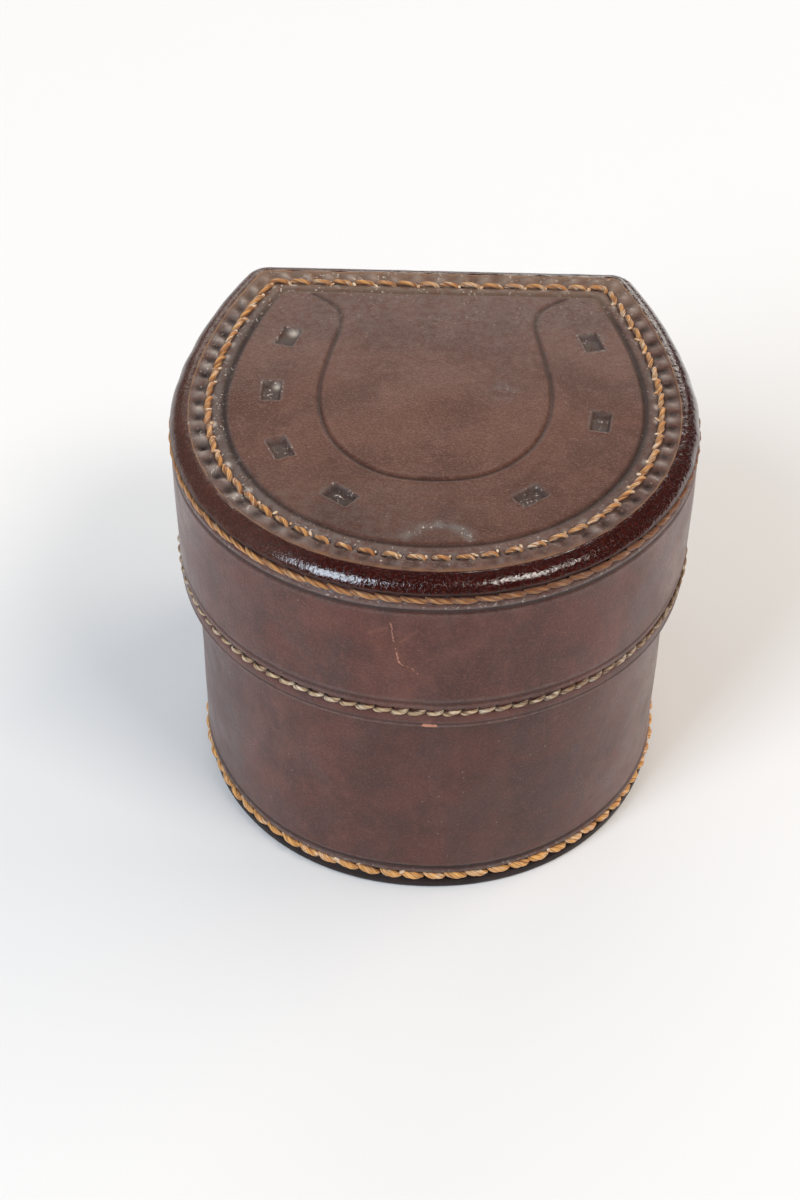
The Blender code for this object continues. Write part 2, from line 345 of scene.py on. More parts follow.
class Shader:
    """A material with short ways to add its nodes."""

    def __init__(self, name):
        self.material = bpy.data.materials.new(name)
        self.material.use_nodes = True
        self.tree = self.material.node_tree
        self.surface = self.tree.nodes["Principled BSDF"]
        self.place = self.add("ShaderNodeTexCoord").outputs["Object"]

    def add(self, kind, settings=None, **inputs):
        node = self.tree.nodes.new(kind)
        for key, value in (settings or {}).items():
            setattr(node, key, value)
        for key, value in inputs.items():
            self.put(node.inputs[key.replace("_", " ")], value)
        return node

    def put(self, socket, value):
        """Links an input or sets it, a colour with its alpha."""
        if isinstance(value, bpy.types.NodeSocket):
            self.tree.links.new(value, socket)
        else:
            socket.default_value = (*value, 1.0) if socket.type == "RGBA" else value

    def join(self, kind, settings, numbers, *values):
        """A node with the values in its inputs of those numbers."""
        node = self.add(kind, settings)
        for number, value in zip(numbers, values):
            self.put(node.inputs[number], value)
        return node

    def stretched(self, scale, turn=(0, 0, 0)):
        return self.add("ShaderNodeMapping", Vector=self.place, Scale=scale, Rotation=turn).outputs[0]

    def noise(self, size, detail=3.0, rough=0.55, where=None):
        """Noise from 0 to 1 whose blotches are about that size in metres."""
        node = self.add("ShaderNodeTexNoise", Scale=1 / size, Detail=detail, Roughness=rough)
        self.put(node.inputs["Vector"], where or self.place)
        return node.outputs[0]

    def cells(self, size, feature="DISTANCE_TO_EDGE"):
        node = self.add("ShaderNodeTexVoronoi", {"feature": feature}, Scale=1 / size)
        self.put(node.inputs["Vector"], self.place)
        return node

    def spots(self, size, radius, share):
        """Scattered round spots: the share of the cells of that size which hold one."""
        node = self.cells(size, "F1")
        near = self.span(node.outputs["Distance"], radius / size, 0.4 * radius / size)
        chosen = self.span(node.outputs["Color"], 0.78 - 0.5 * share, 0.80 - 0.5 * share)
        return self.times(near, chosen)

    def vector(self, operation, a, b):
        node = self.join("ShaderNodeVectorMath", {"operation": operation}, (0, 1), a, b)
        return node.outputs["Value" if operation in ("DOT_PRODUCT", "DISTANCE") else "Vector"]

    def stroke(self, start, end, width):
        """A thin stroke on the lid's front, between two places given in mm as x and z."""
        run = Vector((end[0] - start[0], 0, end[1] - start[1])) * MM
        origin = Vector((start[0], 0, start[1])) * MM
        place = self.vector("MULTIPLY", self.place, (1, 0, 1))
        wander = self.times(self.math("SUBTRACT", self.noise(1.2 * MM), 0.5), 1.2 * MM)
        place = self.vector("SUBTRACT", self.vector("ADD", place, wander), origin)
        along = self.vector("DOT_PRODUCT", place, run / run.length_squared)
        share = self.add("ShaderNodeClamp", Value=along).outputs[0]
        gap = self.vector("DISTANCE", place, self.vector("MULTIPLY", share, run))
        y = self.add("ShaderNodeSeparateXYZ", Vector=self.place).outputs[1]
        in_front = self.math("LESS_THAN", y, FRONT_Y + 0.7 * LID_LEATHER)
        return self.times(self.span(gap, width, 0.4 * width), in_front)

    def mark(self, name):
        settings = {"attribute_type": "GEOMETRY", "attribute_name": name}
        return self.add("ShaderNodeAttribute", settings).outputs["Fac"]

    def span(self, value, low, high, to_low=0.0, to_high=1.0):
        """Maps low..high to to_low..to_high, clamped."""
        values = value, low, high, to_low, to_high
        settings = {"interpolation_type": "SMOOTHSTEP"}
        return self.join("ShaderNodeMapRange", settings, range(5), *values).outputs[0]

    def math(self, operation, a, b):
        return self.join("ShaderNodeMath", {"operation": operation}, (0, 1), a, b).outputs[0]

    def times(self, a, b):
        return self.math("MULTIPLY", a, b)

    def mix(self, share, a, b):
        settings = {"data_type": "RGBA"}
        return self.join("ShaderNodeMix", settings, (0, 6, 7), share, a, b).outputs[2]

    def bump(self, height, depth, strength=1.0, under=None):
        node = self.add("ShaderNodeBump", Height=height, Distance=depth, Strength=strength)
        if under:
            self.put(node.inputs["Normal"], under)
        return node.outputs[0]

    def linked(self, name):
        """What feeds that input of the surface so far."""
        return self.surface.inputs[name].links[0].from_socket

    def set(self, **inputs):
        for key, value in inputs.items():
            self.put(self.surface.inputs[key.replace("_", " ")], value)
        return self.material


def leather_grain(sh, strength=1.0):
    """Fine creased grain with pores and a slight unevenness, as a normal."""
    grain = sh.cells(0.6 * MM).outputs["Distance"]
    normal = sh.bump(sh.noise(6 * MM), 0.25 * MM, 0.25 * strength)
    normal = sh.bump(sh.span(grain, 0, 0.25), 0.05 * MM, 0.35 * strength, normal)
    return sh.bump(sh.noise(0.2 * MM, 3.0, 0.65), 0.05 * MM, 0.5 * strength, normal)


# The darkest colour goes on tooled lines and is also painted shade in holes, grooves and gaps. The bloom
# colour is wax bloom, painted sheen and painted highlights. The pale wax colour is also painted highlights.
TOOLED_AND_SHADE = (0.014, 0.008, 0.007)
BLOOM_AND_SHEEN = (0.150, 0.112, 0.099)
WORN_TAN = (0.30, 0.155, 0.065)
DUST = (0.40, 0.33, 0.27)
CRUMB = (0.50, 0.43, 0.37)
PALE_WAX_AND_HIGHLIGHT = (0.60, 0.52, 0.44)
GREY_CLOUD = (0.058, 0.030, 0.030)
SCRATCHED = (0.44, 0.19, 0.12)


def bridle(name, dark, mid, light, rough, streaked=True, grainy=0.8):
    """Waxed bridle leather: cloudy browns, dark tooled lines and painted shade, wax bloom and painted sheen,
    pale wax and painted highlights, specks and scratches.
    """
    sh = Shader(name)
    color = sh.mix(sh.span(sh.noise(13 * MM, 4.0, 0.6), 0.38, 0.62), dark, mid)
    if streaked:
        streaks = sh.noise(7 * MM, 4.0, 0.65, sh.stretched((1, 1, 0.6)))
        color = sh.mix(sh.span(streaks, 0.46, 0.68, 0, 0.42), color, light)
        greys = sh.noise(9 * MM, 3.0, 0.6, sh.stretched((1.2, 1.2, 0.8)))
        color = sh.mix(sh.span(greys, 0.46, 0.64, 0, 0.42), color, GREY_CLOUD)
    blotch = sh.noise(2.6 * MM, 5.0, 0.7)
    color = sh.mix(sh.span(blotch, 0.5, 0.72, 0, 0.36), color, light)
    color = sh.mix(sh.span(blotch, 0.48, 0.28, 0, 0.36), color, dark)
    grains = sh.noise(0.40 * MM, 3.0, 0.75)
    color = sh.mix(sh.span(grains, 0.51, 0.64, 0.0, grainy), color, light)
    color = sh.mix(sh.span(grains, 0.49, 0.36, 0.0, grainy), color, dark)
    bloom = sh.times(sh.mark("bloom"), sh.span(sh.noise(1.3 * MM, 4.0), 0.28, 0.62, 0.25, 1.0))
    # Wax bloom, plus painted sheen and painted highlights wherever the bloom mark carries them.
    color = sh.mix(bloom, color, BLOOM_AND_SHEEN)
    # Darkened tooled lines, plus painted shade in holes, grooves and gaps.
    color = sh.mix(sh.mark("tooled"), color, TOOLED_AND_SHADE)
    color = sh.mix(sh.mark("rubbed"), color, WORN_TAN)
    dust = sh.times(sh.spots(1.7 * MM, 0.16 * MM, 0.5), sh.span(sh.noise(18 * MM), 0.45, 0.6))
    color = sh.mix(sh.times(dust, 0.6), color, DUST)
    thick_bloom = sh.math("POWER", sh.mark("bloom"), 2.0)
    crumbs = sh.times(sh.span(sh.noise(0.60 * MM, 4.0, 0.6), 0.585, 0.66), thick_bloom)
    crumbs = sh.times(crumbs, sh.span(sh.noise(4 * MM, 2.0), 0.42, 0.58))
    color = sh.mix(crumbs, color, CRUMB)
    scratches = sh.noise(0.35 * MM, 2.0, 0.5, sh.stretched((1, 1, 0.035), (0.25, 0.5, 0.3)))
    color = sh.mix(sh.span(scratches, 0.70, 0.76, 0, 0.35), color, light)
    # Pale wax, plus painted highlights on the pucker crests.
    color = sh.mix(sh.mark("pale"), color, PALE_WAX_AND_HIGHLIGHT)
    gloss = sh.span(sh.noise(9 * MM), 0.3, 0.7, rough - 0.05, rough + 0.08)
    gloss = sh.math("ADD", gloss, sh.times(sh.mark("bloom"), 0.16))
    sh.set(Base_Color=color, Roughness=gloss, Normal=leather_grain(sh))
    return sh


def wall_leather():
    """The walls, with a few worn scratches and a nick on the lid's front."""
    browns = (0.060, 0.017, 0.012), (0.104, 0.026, 0.017), (0.166, 0.058, 0.039)
    sh = bridle("wall_leather", *browns, rough=0.31, grainy=0.55)
    color = sh.linked("Base Color")
    for start, end, width, strength in SCRATCHES:
        stroke = sh.times(sh.stroke(start, end, width * MM), strength)
        color = sh.mix(stroke, color, SCRATCHED)
    sh.set(Coat_Weight=0.14, Coat_Roughness=0.16, Coat_Normal=sh.linked("Normal"))
    return sh.set(Base_Color=color, Specular_IOR_Level=0.34)


def panel_leather():
    """The lid's top: bridle leather that turns into a polished, near-black rounded edge."""
    browns = (0.083, 0.033, 0.022), (0.130, 0.055, 0.037), (0.200, 0.102, 0.074)
    sh = bridle("panel_leather", *browns, rough=0.38, streaked=False, grainy=0.55)
    edge = sh.mark("polished")
    fibres = sh.span(sh.noise(0.5 * MM, 3.0, 0.6, sh.stretched((1, 1, 0.25))), 0.4, 0.75)
    edge_color = sh.mix(fibres, (0.020, 0.0017, 0.0009), (0.056, 0.0056, 0.0024))
    pits = sh.noise(0.30 * MM, 3.0, 0.65, sh.stretched((1, 1, 0.5)))
    ripple = sh.noise(1.1 * MM, 3.0, 0.6, sh.stretched((1, 1, 0.4)))
    wavy = sh.bump(ripple, 0.13 * MM, 0.9)
    polish = sh.bump(sh.span(pits, 0.52, 0.72), 0.05 * MM, 1.0, wavy)
    coat = sh.bump(sh.span(pits, 0.50, 0.75), 0.012 * MM, 1.0, wavy)
    crackle = sh.span(sh.noise(0.7 * MM), 0.4, 0.75, 0.09, 0.18)
    normals = edge, sh.linked("Normal"), polish
    normal = sh.join("ShaderNodeMix", {"data_type": "VECTOR"}, (0, 4, 5), *normals).outputs[1]
    color = sh.mix(edge, sh.linked("Base Color"), edge_color)
    rough = sh.mix(edge, sh.linked("Roughness"), crackle)
    sh.set(Base_Color=color, Roughness=rough, Normal=normal, Coat_Normal=coat, Coat_Roughness=0.07)
    coated = sh.span(edge, 0.3, 1.0, 0, 0.9)
    return sh.set(Coat_Weight=coated, Coat_IOR=1.62, Specular_IOR_Level=0.25)


def base_leather():
    """The base panel: dark, with a burnished edge."""
    browns = (0.010, 0.005, 0.005), (0.020, 0.009, 0.008), (0.042, 0.023, 0.019)
    sh = bridle("base_leather", *browns, rough=0.42)
    return sh.set(Specular_IOR_Level=0.2)


def lining_leather():
    """Thin, dry skiver lining."""
    sh = Shader("lining_leather")
    cloud = sh.span(sh.noise(12 * MM, 4.0, 0.6), 0.3, 0.7)
    color = sh.mix(cloud, (0.150, 0.066, 0.034), (0.240, 0.120, 0.066))
    color = sh.mix(sh.span(sh.noise(1.1 * MM, 3.0, 0.7), 0.5, 0.8, 0, 0.5), color, (0.33, 0.19, 0.12))
    sh.set(Base_Color=color, Roughness=0.72, Normal=leather_grain(sh, 1.3))
    return sh.set(Specular_IOR_Level=0.35)


def thread(name, dark, mid, light, bloom):
    """Waxed linen: plied strands with fibres, darkened with grime and painted shade between the plies,
    underneath and at the holes, worn pale in places.
    """
    sh = Shader(name)
    places = [sh.mark(f"fibre_{axis}") for axis in "xyz"]
    along_ply = sh.join("ShaderNodeCombineXYZ", {}, range(3), *places).outputs[0]
    fibres = sh.noise(0.16, 3.0, 0.7, along_ply)
    tone = sh.math("ADD", sh.times(sh.mark("tone"), 0.4), sh.span(fibres, 0.47, 0.59, 0, 0.75))
    color = sh.mix(tone, mid, light)
    color = sh.mix(sh.span(fibres, 0.50, 0.38, 0, 0.8), color, dark)
    # The groove mark darkens with grime and with painted shade between the plies, underneath the thread and
    # at its holes.
    color = sh.mix(sh.mark("groove"), color, dark)
    worn = sh.span(sh.noise(1.6 * MM), 0.44, 0.62, 0.15, 1.0)
    worn = sh.times(worn, sh.span(fibres, 0.46, 0.60))
    color = sh.mix(sh.times(worn, sh.mark("worn")), color, bloom)
    patchy = sh.span(sh.noise(0.5 * MM), 0.38, 0.58, 0.25, 1.0)
    color = sh.mix(sh.times(sh.mark("knot"), patchy), color, bloom)
    sh.set(Base_Color=color, Roughness=0.62, Normal=sh.bump(fibres, 0.12 * MM, 0.9))
    return sh.set(Sheen_Weight=0.15, Specular_IOR_Level=0.4)


WALL = wall_leather()
PANEL = panel_leather()
BASE = base_leather()
LINING_LEATHER = lining_leather()
AMBER, PALE = "amber_thread", "pale_thread"
THREADS = {
    AMBER: thread(AMBER, (0.15, 0.048, 0.013), (0.50, 0.172, 0.030), (0.76, 0.39, 0.10), (0.70, 0.58, 0.43)),
    PALE: thread(PALE, (0.10, 0.043, 0.016), (0.37, 0.220, 0.098), (0.68, 0.50, 0.29), (0.78, 0.67, 0.52)),
}

# -------- the lid's top panel

FIELD_CENTRE = np.array([0.0, 2.0 * MM])
EDGE_START = math.radians(21)  # where the rounded edge begins: under that it would face the floor


def side_share(x, y):
    """How far a place is from the middle of the front: 0 there, 1 well round the sides."""
    across = clamp((np.abs(x) / HALF_WIDTH - 0.35) / 0.4)
    behind = clamp((y - 15 * MM) / (20 * MM))
    return np.maximum(across, 0.85 * behind)


def top_bridge(x, y):
    """Half the leather between two top stitches: long in front, closed at the sides."""
    return (0.55 - 0.60 * side_share(x, y)) * MM


def top_radius(x, y):
    return (0.45 + 0.11 * side_share(x, y)) * MM


def top_worn(x, y):
    """The top row is paler on the right."""
    return 0.95 + 0.5 * np.clip(x / (25 * MM), -0.7, 1)


class Skin:
    """Collects the rings of a leather skin with the marks of each."""

    # Besides tooling, the tooled mark lays painted shade. Besides wax, the bloom mark lays painted sheen and
    # highlights, and the pale mark lays painted highlights.
    MARKS = ("tooled", "bloom", "rubbed", "pale", "polished")

    def __init__(self):
        self.rings = []
        self.marks = {mark: [] for mark in self.MARKS}

    def lay(self, points, z, **values):
        self.rings.append(ring(points, z))
        for mark, store in self.marks.items():
            store.append(spread(values.get(mark, 0.0), len(points)))

    def build(self, name, closed):
        return skin(name, self.rings, self.marks, closed)


def shine(points):
    """How polished the edge is: fully in front, worn to brown leather round the left side."""
    x, y = points.T
    worn = 0.26 - 0.22 * np.clip(x / (20 * MM), -1, 1)
    return 1 - worn * side_share(x, y)


def lay_edge(sheet):
    """The underside's border and the rounded, polished edge."""
    path = plan(0.0)
    normal = outward(path)
    length, _ = along_length(path)
    wobble = waves(length, 0 * length, 3, 7 * MM)
    # The underside's border is painted dark as shade.
    for inset, rise in ((9.0, 0.0), (5.0, 0.0), (1.1, 0.0), (0.5, 0.03), (0.15, 0.12)):
        sheet.lay(plan(inset * MM), panel_low.z + rise * MM, tooled=1.0)
    drop = TOP_Z - panel_low.z - 0.25 * MM
    low_sine, low_cosine = math.sin(EDGE_START), math.cos(EDGE_START)
    for turn in np.linspace(EDGE_START, math.pi / 2, 16)[:-1]:
        inset = BORDER_INSET * (1 - math.cos(turn) / low_cosine)
        z = TOP_Z - drop * (1 - math.sin(turn)) / (1 - low_sine)
        uneven = 0.07 * MM * wobble * math.cos(turn)
        points = plan(inset) - normal * (0.07 * MM + uneven)[:, None]
        # The first few degrees of the rounding are painted dark as shade under the edge, and are less
        # polished.
        shaded_fold = clamp(1 - (turn - EDGE_START) / math.radians(7))
        sheet.lay(points, z, polished=shine(points) * (1 - 0.8 * shaded_fold), tooled=shaded_fold)


PUCKER_INSET = 4.9 * MM  # the middle of the puckered leather outside the row
LINE_WIDTH = 0.9 * MM  # the finely meshed strip that holds the tan line


def lay_border(sheet):
    """The stitched border: tan line, puckers, the stitch channel and the crease inside it."""
    row_s, row_length = along_length(plan(TOP_ROW_INSET))
    pitch = row_length / round(row_length / BOX_PITCH)
    from_hole = to_nearest(row_s, pitch)
    line_rings = np.arange(BORDER_INSET, BORDER_INSET + LINE_WIDTH, 0.11 * MM)
    other_rings = np.arange(BORDER_INSET + LINE_WIDTH, CREASE_INSET + LINE_WIDTH, 0.26 * MM)
    for inset in (*line_rings, *other_rings):
        points = plan(inset)
        x, y = points.T
        side = side_share(x, y)
        sides = 0.36 + 0.64 * side
        uneven = 1 + 0.50 * waves(x, y, 23, 7 * MM)
        from_row = inset - TOP_ROW_INSET
        from_line = inset - BORDER_INSET - 0.22 * MM
        from_crease = inset - CREASE_INSET
        from_pucker = inset - PUCKER_INSET
        ridge = 0.5 + 0.5 * np.cos(math.tau * row_s / pitch)
        pucker = bell(from_pucker - 0.05 * MM, 1.25 * MM) * sides * uneven
        gap = np.maximum(top_bridge(x, y), 0.0)
        bridge = bell(from_hole, 0.9 * gap + 0.12 * MM)
        end = bell(np.abs(from_hole) - gap - 0.1 * MM, 0.32 * MM)
        height = -0.54 * MM * (1 - ridge) * pucker
        height -= 0.34 * MM * bell(from_row, 0.85 * MM) * (1 - 0.85 * bridge)
        height -= 0.45 * MM * bell(from_row, 0.5 * MM) * end
        height += 0.12 * MM * bell(from_row + 1.2 * MM, 0.6 * MM)
        height -= 0.10 * MM * bell(from_row - 1.3 * MM, MM)
        height += 0.07 * MM * (bell(from_line, 0.13 * MM) - bell(from_line - 0.3 * MM, 0.14 * MM))
        height += crease(from_crease, 0.45 * MM, 0.30 * MM)
        height += unevenness(x, y)
        left = clamp(-x / (20 * MM))
        # The back of the border, which gets painted sheen further down.
        behind = clamp((y - 26 * MM) / (12 * MM))
        # Dark lines: the tooled crease, and painted shade at the stitch holes.
        line = 0.65 * bell(from_crease, 0.55 * MM) + 0.45 * bell(from_row, 0.45 * MM) * end
        # Painted shade in the gaps between the puckers.
        line += 0.92 * (1 - ridge) ** 2 * bell(from_pucker, 1.1 * MM) * sides
        line += 0.24 * side * bell(inset - 8.9 * MM, 1.5 * MM)
        mottled = waves(x, y, 61, 2.4 * MM) * bell(from_pucker - 0.3 * MM, 1.4 * MM) * (1 - side)
        line += 0.30 * clamp(mottled)
        # Painted shade along the stitch channel. All the dark lines are lighter at the back, as painted
        # sheen.
        line = (line + 0.12 * bell(from_row, 0.8 * MM)) * (1 - 0.5 * behind)
        dust = (0.35 + 0.6 * left) * bell(inset - 8.0 * MM, 1.1 * MM) + (0.15 + 0.4 * left) * side
        # Bloom at the back is painted sheen; the mottled bloom is wax.
        dust += 0.70 * behind + 0.55 * clamp(-mottled)
        patchy = np.clip(0.75 + 0.7 * waves(x, y, 47, 5 * MM), 0.1, 1.3)
        # Wax bloom and painted highlights on the pucker crests.
        ridge_wax_and_highlight = 0.15 + (0.45 + 0.35 * left) * side
        dust += 1.1 * ridge * patchy * bell(from_pucker, 1.3 * MM) * ridge_wax_and_highlight
        dust += 0.55 * bell(from_row, 2.1 * MM) * (1 - 0.7 * side)
        # Pale wax and painted highlights on the pucker crests.
        white = 0.26 * patchy * ridge**3 * bell(from_pucker - 0.1 * MM, MM) * side * (0.8 + 0.6 * left)
        waxed = clamp(0.2 + 1.2 * waves(x, y, 53, 5 * MM)) * side * (0.50 + 0.4 * left)
        white += waxed * bell(from_hole - 0.2 * MM, 0.5 * MM) * bell(inset - 7.5 * MM, 0.42 * MM)
        broken = clamp(0.75 + 0.6 * waves(x, y, 41, 6 * MM))
        rub = 0.9 * bell(from_line, 0.09 * MM) * side * broken
        rub += 0.45 * bell(from_line - 0.3 * MM, 0.35 * MM) * (1 - side) * broken
        # Tan at the back is painted sheen.
        rub += 0.22 * behind
        polish = shine(points) * clamp((BORDER_INSET + 0.15 * MM - inset) / (0.15 * MM))
        sheet.lay(points, TOP_Z + height, polished=polish, tooled=line, bloom=dust, rubbed=rub, pale=white)


def horseshoe():
    half = np.array(HORSESHOE_LINE) * MM
    return smooth_line(np.vstack([half, half[-2::-1] * (-1, 1)]))


def lay_field(sheet):
    """The field inside the border, with the pressed horseshoe, nail marks and toe clip."""
    border = plan(CREASE_INSET + MM)[::2]
    shoe = horseshoe()
    shares = np.concatenate([np.linspace(1, 0.45, 86), np.linspace(0.45, 0, 16)[1:-1]])
    for share in shares:
        points = FIELD_CENTRE + (border - FIELD_CENTRE) * share
        x, y = points.T
        to_shoe = distance_to_line(points, shoe)
        height = crease(to_shoe, 0.38 * MM, 0.26 * MM)
        # The horseshoe's pressed line, and painted shade that darkens the field towards the front.
        line = 0.62 * bell(to_shoe, 0.42 * MM) + 0.10 * clamp(-y / (30 * MM))
        white = dust = 0
        for nail_x, nail_y, turn, pale_spot in NAIL_MARKS:
            gap = box_distance(points, np.array([nail_x, nail_y]) * MM, NAIL_SIZE, turn)
            pressed = soft_step(-gap, 0.18 * MM)
            rim = bell(gap - 0.30 * MM, 0.22 * MM)
            height += -0.55 * MM * pressed + 0.15 * MM * rim
            # Painted shade in the pressed marks and along their edges. Grey dust on their floors, and dust
            # with a painted highlight on their rims.
            line += 0.5 * pressed + 0.25 * bell(gap, 0.16 * MM)
            dust += 0.8 * pressed + 0.9 * rim
            if pale_spot:
                corner = np.array([nail_x + 0.9, nail_y + 1.7]) * MM
                white += 0.8 * bell(np.linalg.norm(points - corner, axis=1), pale_spot * MM) * pressed
        clip_x, clip_y, radius = TOE_CLIP
        from_clip = np.hypot(x - clip_x, y - clip_y) - radius
        above = soft_step(y - clip_y, 0.6 * MM)
        height += above * crease(from_clip, 0.4 * MM, 0.30 * MM)
        height += above * 0.15 * MM * bell(from_clip - 0.8 * MM, 0.5 * MM)
        height += unevenness(x, y)
        broken = clamp(0.65 + 0.5 * waves(x, y, 29, 4 * MM))
        dust += above * bell(from_clip - 0.2 * MM, 0.9 * MM) * (0.5 + 0.65 * broken)
        white += 0.10 * above * bell(from_clip - 0.3 * MM, 0.5 * MM) * broken
        # Lighter towards the back: painted sheen, laid as bloom.
        dust += 0.60 * clamp(y / BACK_SHEEN)
        front_left = clamp((-14 * MM - y) / (14 * MM)) * clamp((12 * MM - x) / (20 * MM))
        line += 0.14 * front_left
        dust += 0.42 * front_left * broken
        scuff_x, scuff_y, scuff_radius = SCUFF
        scuffed = broken * bell(np.hypot(x - scuff_x, y - scuff_y), scuff_radius)
        dust += 0.8 * scuffed
        height -= 0.10 * MM * scuffed
        sheet.lay(points, TOP_Z + height, tooled=line, bloom=dust, pale=white)


def lid_top():
    sheet = Skin()
    lay_edge(sheet)
    lay_border(sheet)
    lay_field(sheet)
    obj = sheet.build("top_panel", closed=False)
    wear(obj, PANEL, "lid", ["lid_top_panel"])


# -------- walls and linings


def levels(low, high, features, coarse=2.2 * MM, fine=0.24 * MM, reach=1.5 * MM):
    """Heights from low to high, close together near the features."""
    found = [low]
    while found[-1] < high - 1e-6:
        z = found[-1]
        near = min(abs(z - f) for f in features) < 1.01 * reach
        ahead = min((f - reach - z for f in features if f - reach > z), default=coarse)
        found.append(min(z + (fine if near else min(coarse, max(ahead, fine))), high))
    return np.array(found)


def wall(name, inset, thickness, low, high, row_z, creases, notch_z, hems, dark):
    """A leather wall with a fine row of stitches, and the box stitches' notch at one end.

    creases holds the height and the strength of each tooled line, hems the heights of the finer
    lines along the edges. dark is how much painted shade darkens the band, most just right of the middle.
    """
    path = plan(inset)
    normal = outward(path)
    length, whole = along_length(path)
    rim_pitch = whole / round(whole / RIM_PITCH)
    box_pitch = whole / round(whole / BOX_PITCH)
    inward = -1 if notch_z > (low + high) / 2 else 1  # from the notch towards the wall's middle
    seam = bell(path[:, 0], 0.28 * MM) * (path[:, 1] > 0)  # where the band's ends meet
    # Painted shade, deepest a little right of the middle.
    painted_shade = dark * bell(path[:, 0] - 8 * MM, 22 * MM)
    sheet = Skin()
    for z in levels(low, high, [row_z, notch_z, *(z for z, _ in creases), *hems, low, high]):
        from_row = z - row_z
        from_notch = z - notch_z
        slit = to_nearest(length - 0.55 * (from_row - 0.2 * MM), rim_pitch)
        hole = bell(from_row - 0.3 * MM, 0.42 * MM) * bell(slit, 0.34 * MM)
        push = 0.10 * MM * waves(length, 0 * length + z, 11, 26 * MM) - 0.35 * MM * seam
        push -= 0.45 * MM * bell(z - low, 0.3 * MM) + 0.45 * MM * bell(z - high, 0.3 * MM)
        push -= 0.30 * MM * bell(from_row, 0.62 * MM) + 0.60 * MM * hole
        push -= 0.50 * MM * bell(from_notch, 0.7 * MM)
        push -= 0.30 * MM * bell(from_notch, 0.6 * MM) * bell(to_nearest(length, box_pitch), 0.45 * MM)
        push += 0.10 * MM * bell(from_notch - 0.5 * inward * ROW_TO_CREASE, 0.7 * MM)
        # Dark lines: the tooled creases and hems and the seam's joint, with painted shade in the stitch
        # holes, along the row and in the notch under the box stitches.
        line = 0.9 * hole + 0.30 * bell(from_row, 0.7 * MM) + 0.7 * bell(from_notch, 0.55 * MM) + 0.8 * seam
        dust = 0.6 * bell(from_notch - 0.55 * inward * ROW_TO_CREASE, 0.75 * MM)
        for crease_z, share in creases:
            push += crease(z - crease_z, 0.36 * MM * share, 0.26 * MM * share)
            line += 0.68 * share * bell(z - crease_z, 0.38 * MM * share)
            dust += 0.35 * bell(np.abs(z - crease_z) - 0.7 * MM, 0.3 * MM)
        for hem_z in hems:
            push += crease(z - hem_z, 0.24 * MM, 0.16 * MM)
            line += 0.6 * bell(z - hem_z, 0.25 * MM)
            dust += 0.5 * bell(z - hem_z + 0.5 * MM, 0.35 * MM)
        sheet.lay(path + normal * push[:, None], z, tooled=line + painted_shade, bloom=dust)
    soft = 0.3 * MM
    for depth, z in ((0.5, high), (1, high), (1, high - soft), (1, low + soft), (1, low), (0.5, low)):
        sheet.lay(path - normal * thickness * depth, z, tooled=0.5)
    return sheet.build(name, closed=True)


def lining_band(name, inset, low, high):
    path = plan(inset)[::4]
    normal = outward(path)
    heights = np.concatenate([[low], np.linspace(low + 0.15 * MM, high - 0.15 * MM, 24), [high]])
    rings = [ring(path, z) for z in heights]
    for z in heights[::-1]:
        soft = 0.06 * MM * waves(path[:, 0], path[:, 1] + z, 17, 9 * MM)
        rings.append(ring(path - normal * (LINING + soft)[:, None], z))
    return skin(name, rings)


def lining_disc(name, inset, low, high):
    rings = []
    outline = plan(inset)[::4]
    centre = outline.mean(0)
    for z, shares in ((low, np.linspace(0.02, 1, 30)), (high, np.linspace(1, 0.02, 30))):
        for share in shares:
            points = centre + (outline - centre) * share
            soft = 0.05 * MM * waves(points[:, 0], points[:, 1], 19, 10 * MM)
            rings.append(ring(points, z + soft * (1 - share**8)))
    return skin(name, rings, closed=False)


BASE_BORDER = 8.2 * MM  # the stitched border's width on the underside
# The rounded edge from the top down, as insets and drops in mm
BASE_EDGE = (1.0, 0), (0.45, 0.05), (0.15, 0.2), (0.03, 0.5), (0, 0.9), (0, 1.5), (0.1, 1.95), (0.35, 2.25)


def base_panel():
    """The base panel, with its dark burnished edge and the stitched channel underneath."""
    row_s, row_length = along_length(plan(UNDER_ROW_INSET))
    pitch = row_length / round(row_length / BOX_PITCH)
    at_hole = bell(to_nearest(row_s, pitch), 0.5 * MM)
    sheet = Skin()
    inner = plan(CUP_INSET + BASE_BORDER)
    for share in np.linspace(0.05, 1, 12):
        sheet.lay(inner * share, BASE_TOP_Z)
    for inset, drop in BASE_EDGE:
        sheet.lay(plan(CUP_INSET + inset * MM), BASE_TOP_Z - drop * MM, tooled=0.5)
    for inset in np.arange(0.8 * MM, BASE_BORDER, 0.28 * MM):
        from_row = CUP_INSET + inset - UNDER_ROW_INSET
        from_crease = from_row - ROW_TO_CREASE
        rise = 0.5 * MM * bell(from_row, 0.75 * MM) + 0.5 * MM * bell(from_row, 0.5 * MM) * at_hole
        rise -= crease(from_crease, 0.4 * MM, 0.25 * MM)
        line = 0.6 * bell(from_crease, 0.5 * MM) + 0.4 * bell(from_row, 0.8 * MM)
        dust = 0.4 * bell(from_row - 1.2 * MM, MM)
        sheet.lay(plan(CUP_INSET + inset), np.maximum(rise, 0.0), tooled=line, bloom=dust)
    for share in np.linspace(1, 0.05, 24):
        sheet.lay(inner * share, 0.0)
    obj = sheet.build("base_panel", closed=False)
    wear(obj, BASE, "cup", ["cup_base_panel"])


# -------- stitches


AROUND = 15  # points round a stitch
ALONG = 15  # rings along it
BEAD_AROUND = 9
BEAD_ALONG = 7
SEAM_POINTS = 60
SEAM_PITCH = 3.2 * MM
SEAM_DEPTH = 0.40 * MM  # the laced seams lie that deep, clear of what slides over them


